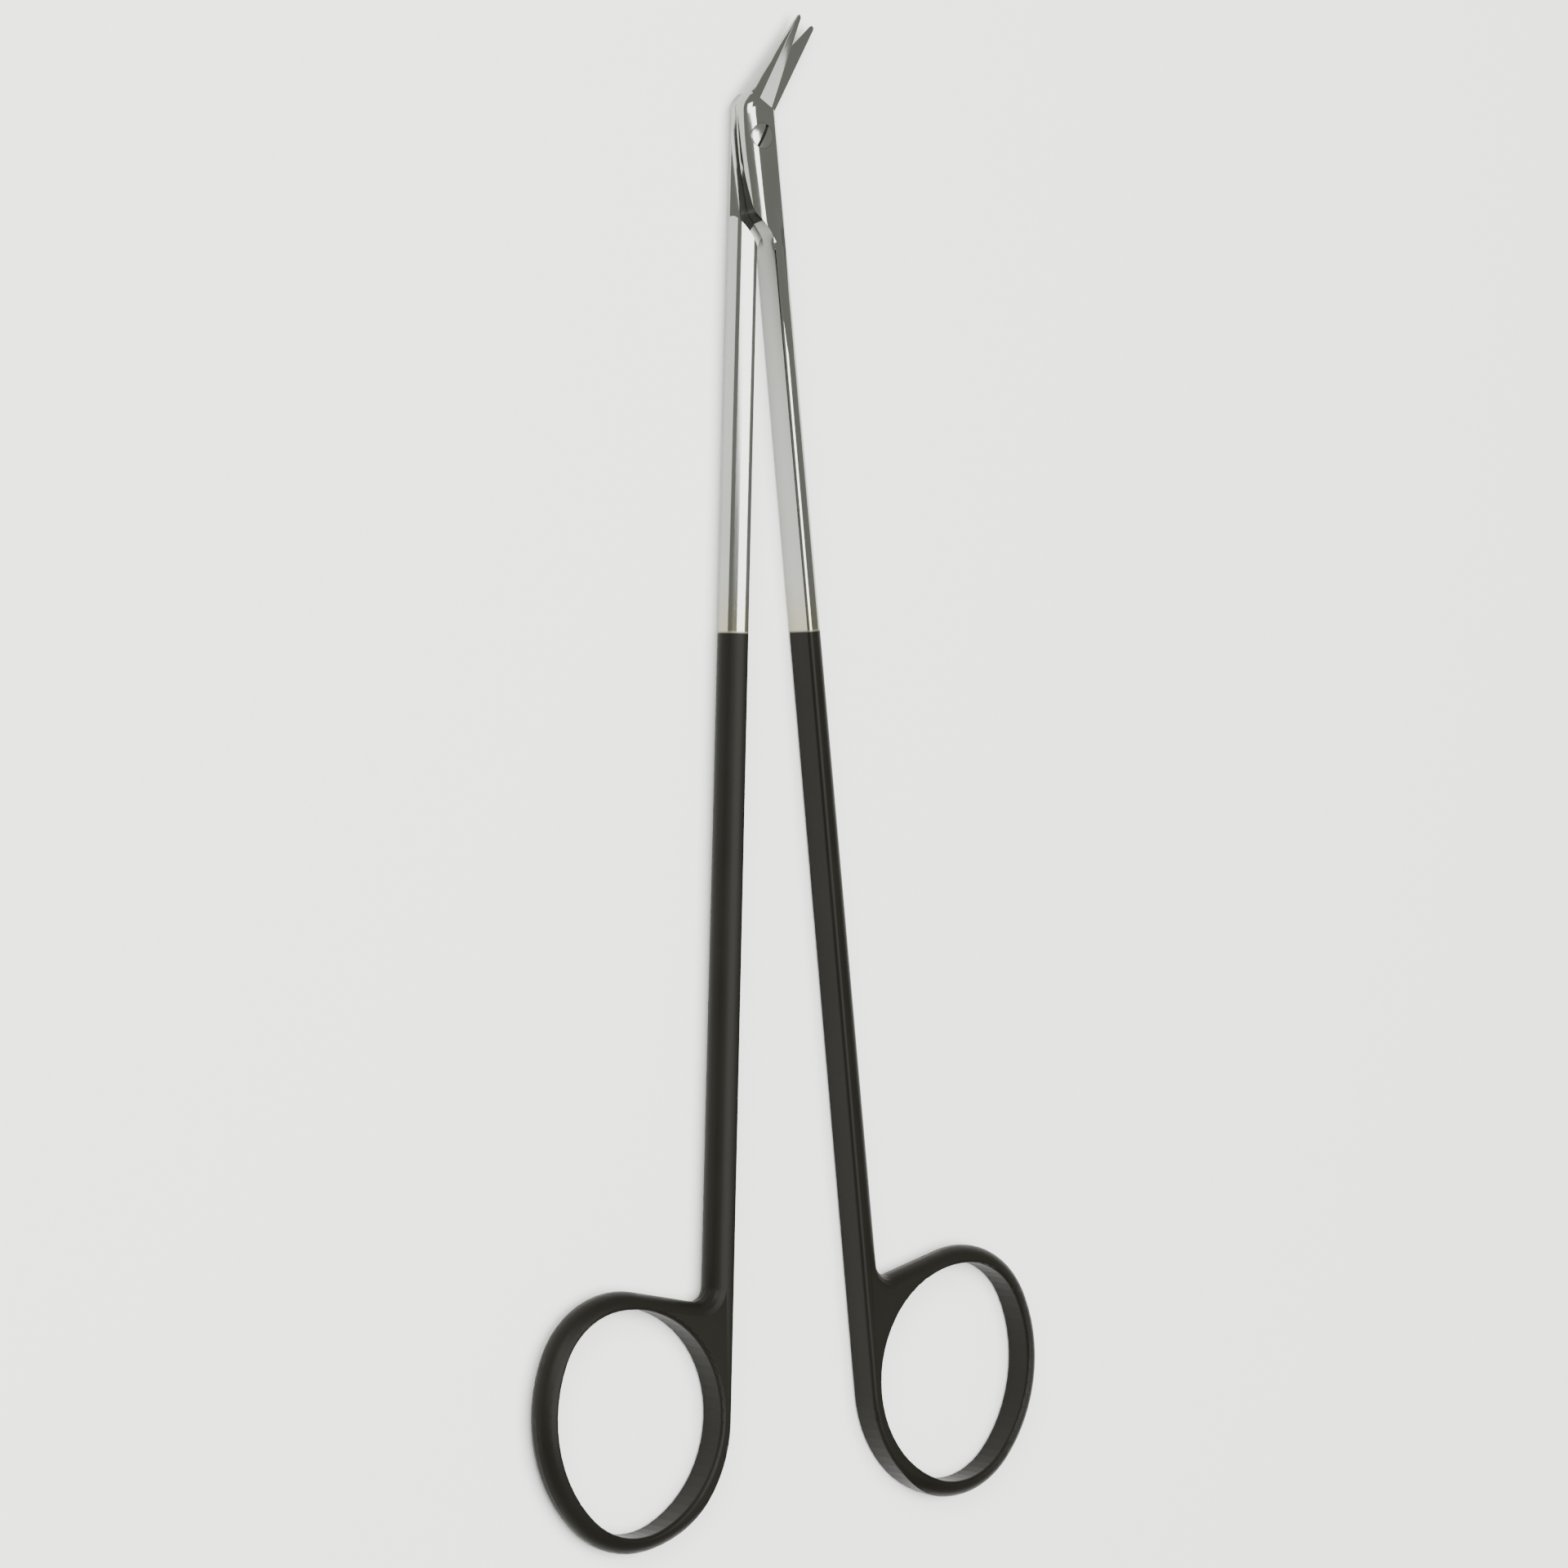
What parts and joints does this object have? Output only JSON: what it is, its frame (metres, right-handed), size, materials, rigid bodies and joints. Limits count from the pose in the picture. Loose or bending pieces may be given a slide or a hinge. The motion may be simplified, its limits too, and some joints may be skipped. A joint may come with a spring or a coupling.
{
  "type": "angled surgical scissors",
  "caption": "Slender surgical scissors with oval finger rings, long straight shanks, a slotted pivot screw and short fine blades bent sideways at an angle.",
  "frame": {"origin": "on the pivot screw's axis, in the plane of the back faces that the scissors rest on", "axes": "+Y along the middle between the shanks, from the finger rings towards the blades; +X to the side that the blades lean to; +Z along the pivot axis, out of the screw's head"},
  "size_m": [0.0778, 0.1862, 0.0043],
  "materials": {
    "front_half": "polished stainless steel; the lower part of the shank and the finger ring carry a black coating, which the visual model shows",
    "back_half": "polished stainless steel; the lower part of the shank and the finger ring carry a black coating, which the visual model shows",
    "pivot_screw": "ground and polished stainless steel"
  },
  "bodies": {
    "back": {"back_half": "back_half", "pivot_screw": "pivot_screw"},
    "front": {"front_half": "front_half"}
  },
  "joints": [
    {"name": "pivot", "type": "hinge", "parent": "back", "child": "front", "pos_m": [0, 0, 0], "axis": [0, 0, 1], "range_deg": [-8, 42]}
  ]
}
